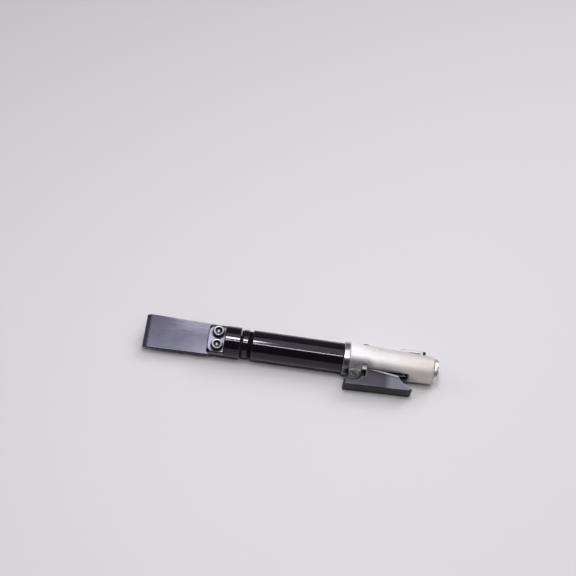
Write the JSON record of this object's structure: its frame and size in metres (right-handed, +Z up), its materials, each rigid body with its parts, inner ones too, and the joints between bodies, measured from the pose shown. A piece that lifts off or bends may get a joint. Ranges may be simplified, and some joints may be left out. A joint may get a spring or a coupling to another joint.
{
  "type": "pneumatic scraper",
  "caption": "Straight air scraper: flat blade clamped in a sliding holder, black hammer barrel, cast aluminium grip with a throttle lever, flow regulator and threaded air inlet.",
  "frame": {"origin": "middle of the footprint, on the table that the tool lies on", "axes": "+X along the tool from the blade to the air inlet, +Z up from the table; the tool is rolled so that its collar and the lever's outer edge meet the table, lever towards -Y"},
  "size_m": [0.2346, 0.0394, 0.0264],
  "materials": {
    "blackened_blade": "satin black-oxide spring steel",
    "clamp_steel": "satin steel with bright ground bevels",
    "screw_steel": "oiled alloy steel, rims worn bright",
    "gloss_black": "gloss black on turned steel",
    "polished_collar": "polished and plated",
    "cast_aluminium": "satin bead-blasted casting",
    "lever_metal": "satin cast metal",
    "plated_steel": "bright plated",
    "pin_steel": "ground steel",
    "ground_steel": "ground and hardened",
    "spring_steel": "drawn wire",
    "bronze": "turned bronze",
    "black_rubber": "matt nitrile",
    "gasket_fibre": "pressed fibre",
    "knob_black": "blackened, fluted",
    "plug_steel": "blackened steel",
    "screen_steel": "perforated steel"
  },
  "bodies": {
    "housing": {"nose_cap": "gloss_black", "barrel": "gloss_black", "lock_collar": "polished_collar", "handle": "cast_aluminium", "inlet_bushing": "plated_steel", "lever_pin": "pin_steel", "guide_pin": "pin_steel", "valve_dowel": "pin_steel", "cylinder_liner": "ground_steel", "valve_plate": "ground_steel", "valve_block": "ground_steel", "return_spring": "spring_steel", "throttle_spring": "spring_steel", "nose_bush": "bronze", "stem_guide": "bronze", "throttle_seat": "bronze", "wiper_seal": "black_rubber", "bumper_ring": "black_rubber", "stem_seal": "black_rubber", "regulator_seal": "black_rubber", "inlet_seal": "black_rubber", "valve_gasket": "gasket_fibre", "valve_plug": "plug_steel", "inlet_screen": "screen_steel"},
    "blade_head": {"blade": "blackened_blade", "blade_clamp_plate": "clamp_steel", "blade_screws": "screw_steel", "blade_holder": "gloss_black", "spring_seat": "ground_steel", "snap_ring": "spring_steel"},
    "piston": {"piston": "ground_steel"},
    "valve_disc": {"valve_disc": "ground_steel"},
    "lever": {"lever": "lever_metal"},
    "throttle_stem": {"throttle_stem": "ground_steel"},
    "regulator": {"regulator_screw": "knob_black"}
  },
  "joints": [
    {"name": "blade_stroke", "type": "slide", "parent": "housing", "child": "blade_head", "axis": [-1, 0, 0], "range_m": [0, 0.005], "stiffness_N_per_m": 2500, "springref_m": -0.004, "deforming": ["return_spring"]},
    {"name": "piston_stroke", "type": "slide", "parent": "housing", "child": "piston", "axis": [1, 0, 0], "range_m": [0, 0.0205]},
    {"name": "valve_shuttle", "type": "slide", "parent": "housing", "child": "valve_disc", "axis": [-1, 0, 0], "range_m": [0, 0.001]},
    {"name": "lever_press", "type": "hinge", "parent": "housing", "child": "lever", "pos_m": [0.0519, -0.00844, 0.00954], "axis": [0, -0.258, 0.9661], "range_deg": [0, 8], "stiffness_Nm_per_rad": 0.4, "springref_deg": -5.73},
    {"name": "throttle_lift", "type": "slide", "parent": "housing", "child": "throttle_stem", "axis": [0, 0.9661, 0.258], "range_m": [0, 0.00108], "deforming": ["throttle_spring"]},
    {"name": "regulator_turn", "type": "hinge", "parent": "housing", "child": "regulator", "pos_m": [0.1025, 0.01707, 0.01635], "axis": [1, 0, 0], "range_deg": [0, 270]}
  ],
  "couplings": [
    {"joint": "lever_press", "follows": "throttle_lift", "rad_per_m": 125}
  ]
}
